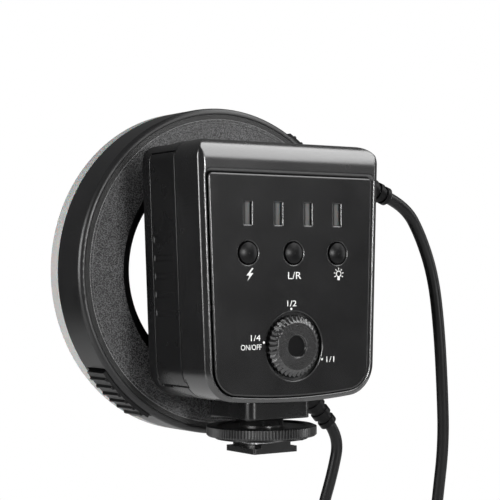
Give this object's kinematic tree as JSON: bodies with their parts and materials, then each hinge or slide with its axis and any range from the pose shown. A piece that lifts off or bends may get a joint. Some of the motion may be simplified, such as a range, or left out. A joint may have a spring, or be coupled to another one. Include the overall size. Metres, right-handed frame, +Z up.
{
  "type": "macro_ring_flash",
  "caption": "Macro ring flash: a round ring head with a frosted diffuser docked on the front of a battery-powered controller with buttons, power dial and shoe foot, joined by a free cable.",
  "frame": {"origin": "centre of the shoe foot's underside", "axes": "+X right as seen from behind, +Y forward to the subject, +Z up"},
  "size_m": [0.1472, 0.0688, 0.2426],
  "materials": {
    "body_plastic": "fine-grained black moulding",
    "panel_plastic": "smooth satin black",
    "ring_plastic": "grained black moulding",
    "latch_plastic": "satin black with ridges",
    "button_plastic": "polished black",
    "dial_plastic": "grained black",
    "window_plastic": "translucent pale",
    "diffuser_plastic": "translucent frosted",
    "inner_plastic": "plain black",
    "lamp_plastic": "pale lamp resin",
    "board_resin": "green board lacquer",
    "cell_sleeve": "plain printed sleeve",
    "wheel_plastic": "satin black",
    "foot_metal": "machined metal",
    "screw_steel": "zinc-plated",
    "contact_metal": "gilt",
    "cable_rubber": "matt black jacket"
  },
  "bodies": {
    "controller": {"rear_shell": "body_plastic", "front_shell": "body_plastic", "control_panel": "panel_plastic", "level_windows": "window_plastic", "indicator_lamps": "lamp_plastic", "circuit_board": "board_resin", "board_screws": "screw_steel", "board_components": "inner_plastic", "tact_switches": "inner_plastic", "dial_potentiometer": "inner_plastic", "shell_screws": "screw_steel", "battery_tray": "inner_plastic", "battery_cells": "cell_sleeve", "battery_contacts": "contact_metal", "neck_block": "body_plastic", "neck_screws": "screw_steel", "shoe_foot": "foot_metal", "foot_contacts": "contact_metal", "dock_collar": "ring_plastic", "dock_screws": "screw_steel", "controller_relief": "cable_rubber", "cable": "cable_rubber"},
    "flash_mode_button": {"flash_mode_button": "button_plastic"},
    "side_select_button": {"side_select_button": "button_plastic"},
    "lamp_mode_button": {"lamp_mode_button": "button_plastic"},
    "power_dial": {"power_dial": "dial_plastic", "dial_shaft": "foot_metal"},
    "battery_door": {"battery_door": "body_plastic", "door_contacts": "contact_metal"},
    "clamp_plate": {"clamp_plate": "foot_metal"},
    "locking_wheel": {"locking_wheel": "wheel_plastic"},
    "ring_head": {"rim_housing": "ring_plastic", "back_plate": "ring_plastic", "diffuser": "diffuser_plastic", "led_board": "board_resin", "led_board_screws": "screw_steel", "leds": "lamp_plastic", "latch_springs": "screw_steel", "ring_relief": "cable_rubber"},
    "lower_latch": {"lower_latch": "latch_plastic"},
    "upper_latch": {"upper_latch": "latch_plastic"}
  },
  "joints": [
    {"name": "flash_mode_press", "type": "slide", "parent": "controller", "child": "flash_mode_button", "axis": [0, 1, 0], "range_m": [0, 0.0006], "stiffness_N_per_m": 600, "springref_m": -0.0005},
    {"name": "side_select_press", "type": "slide", "parent": "controller", "child": "side_select_button", "axis": [0, 1, 0], "range_m": [0, 0.0006], "stiffness_N_per_m": 600, "springref_m": -0.0005},
    {"name": "lamp_mode_press", "type": "slide", "parent": "controller", "child": "lamp_mode_button", "axis": [0, 1, 0], "range_m": [0, 0.0006], "stiffness_N_per_m": 600, "springref_m": -0.0005},
    {"name": "power_dial_turn", "type": "hinge", "parent": "controller", "child": "power_dial", "pos_m": [0, -0.02, 0.0378], "axis": [0, 1, 0], "range_deg": [0, 195]},
    {"name": "battery_door_slide", "type": "slide", "parent": "controller", "child": "battery_door", "axis": [0.036, 0, -0.9994], "range_m": [0, 0.084]},
    {"name": "clamp_slide", "type": "slide", "parent": "controller", "child": "clamp_plate", "axis": [0, 0, 1], "range_m": [0, 0.0015]},
    {"name": "locking_wheel_turn", "type": "hinge", "parent": "clamp_plate", "child": "locking_wheel", "pos_m": [0, 0, 0.007], "axis": [0, 0, 1], "range_deg": [0, 360]},
    {"name": "ring_head_pull", "type": "slide", "parent": "controller", "child": "ring_head", "axis": [0, 1, 0], "range_m": [0, 0.015]},
    {"name": "lower_latch_press", "type": "slide", "parent": "ring_head", "child": "lower_latch", "axis": [0.6769, 0, 0.7361], "range_m": [0, 0.002], "stiffness_N_per_m": 900, "springref_m": -0.001},
    {"name": "upper_latch_press", "type": "slide", "parent": "ring_head", "child": "upper_latch", "axis": [-0.6769, 0, -0.7361], "range_m": [0, 0.002], "stiffness_N_per_m": 900, "springref_m": -0.001}
  ],
  "couplings": [
    {"joint": "clamp_slide", "follows": "locking_wheel_turn", "m_per_rad": 0.00023873}
  ]
}
